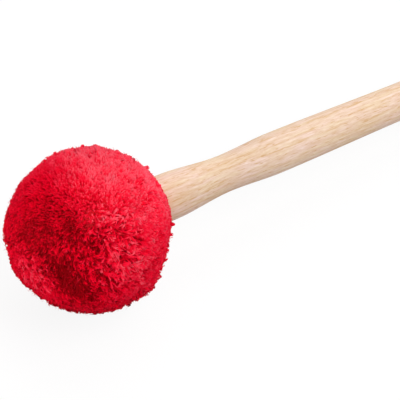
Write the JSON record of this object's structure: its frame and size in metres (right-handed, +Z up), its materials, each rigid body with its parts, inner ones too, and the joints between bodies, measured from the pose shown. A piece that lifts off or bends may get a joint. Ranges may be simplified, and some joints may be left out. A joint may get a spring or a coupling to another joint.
{
  "type": "bass drum mallet",
  "caption": "Bass drum mallet: a turned hardwood handle with a waisted neck, wedged into a felted wooden core under a round long-pile plush head tied at the neck.",
  "frame": {"origin": "centre of the flat that the head rests on, straight under the centre of the head, on the table", "axes": "+X along the table from the head towards the butt of the handle, +Z up, +Y to the left of the handle seen from the head"},
  "size_m": [0.3594, 0.0848, 0.0829],
  "materials": {
    "ash_wood": "finely sanded, thin satin lacquer",
    "core_wood": "bare turned",
    "wedge_wood": "bare sawn",
    "felt": "pressed wool felt",
    "wool_padding": "loose wool wadding",
    "red_plush": "long soft pile",
    "red_cord": "waxed thread"
  },
  "bodies": {
    "root": {"handle": "ash_wood", "tenon_wedge": "wedge_wood", "head_core": "core_wood", "felt_wrap": "felt", "front_felt_pad": "felt", "rear_felt_pad": "felt", "head_padding": "wool_padding", "plush_cover": "red_plush", "tie_cord": "red_cord"}
  },
  "joints": []
}
